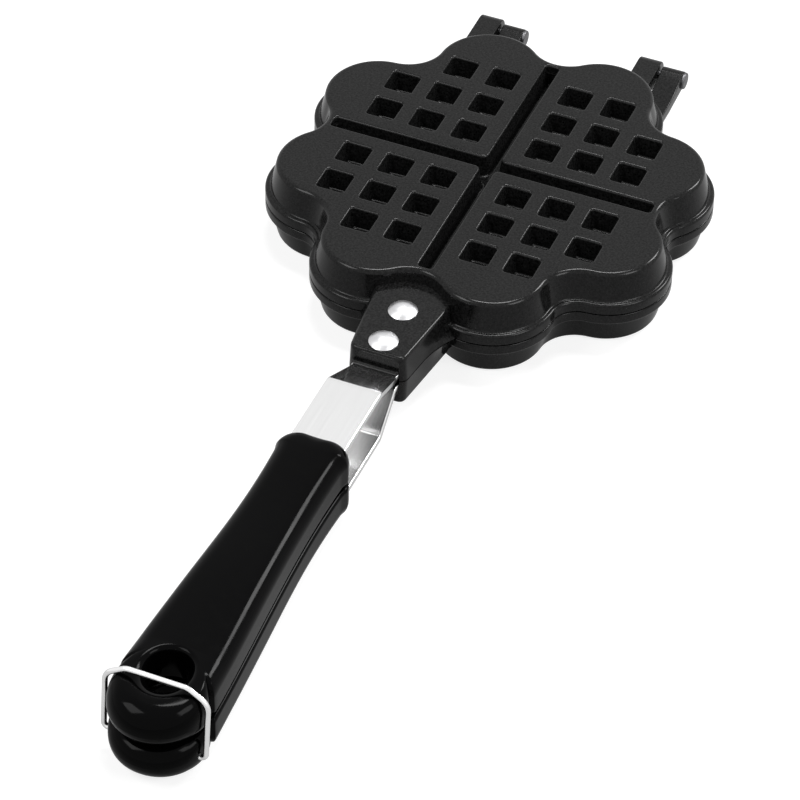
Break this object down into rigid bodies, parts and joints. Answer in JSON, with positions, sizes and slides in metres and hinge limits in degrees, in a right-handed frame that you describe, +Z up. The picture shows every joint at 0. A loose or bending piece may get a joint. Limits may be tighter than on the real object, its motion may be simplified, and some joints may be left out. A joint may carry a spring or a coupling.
{
  "type": "waffle pan",
  "caption": "Double-sided stovetop waffle pan: hinged rosette plates with a waffle grid, riveted strap handles with moulded grips, and a wire bail that latches the grips.",
  "frame": {"origin": "on the table under the middle of the closed pan's overall length and width", "axes": "+Y from the grips towards the hinges, +Z up, +X to the right when looking along +Y"},
  "size_m": [0.1576, 0.4014, 0.0349],
  "materials": {
    "coated_casting": "cast aluminium with a black satin non-stick coating",
    "steel_pin": "plain steel",
    "steel_strap": "polished stainless steel strap",
    "rivet_metal": "bright domed rivet",
    "grip_plastic": "glossy black moulded heat-resistant plastic",
    "screw_steel": "plated steel screw",
    "bail_steel": "bright bent wire"
  },
  "bodies": {
    "base": {"lower_plate": "coated_casting", "left_hinge_pin": "steel_pin", "right_hinge_pin": "steel_pin", "lower_strap": "steel_strap", "lower_rear_rivet": "rivet_metal", "lower_front_rivet": "rivet_metal", "lower_grip": "grip_plastic", "lower_grip_screw": "screw_steel"},
    "lid": {"upper_plate": "coated_casting", "upper_strap": "steel_strap", "upper_rear_rivet": "rivet_metal", "upper_front_rivet": "rivet_metal", "upper_grip": "grip_plastic", "upper_grip_screw": "screw_steel"},
    "bail": {"bail_wire": "bail_steel"}
  },
  "joints": [
    {"name": "lid_open", "type": "hinge", "parent": "base", "child": "lid", "pos_m": [0, 0.19575, 0.0158], "axis": [-1, 0, 0], "range_deg": [0, 180]},
    {"name": "bail_swing", "type": "hinge", "parent": "base", "child": "bail", "pos_m": [0, -0.18775, 0.0074], "axis": [1, 0, 0], "range_deg": [0, 255]}
  ]
}
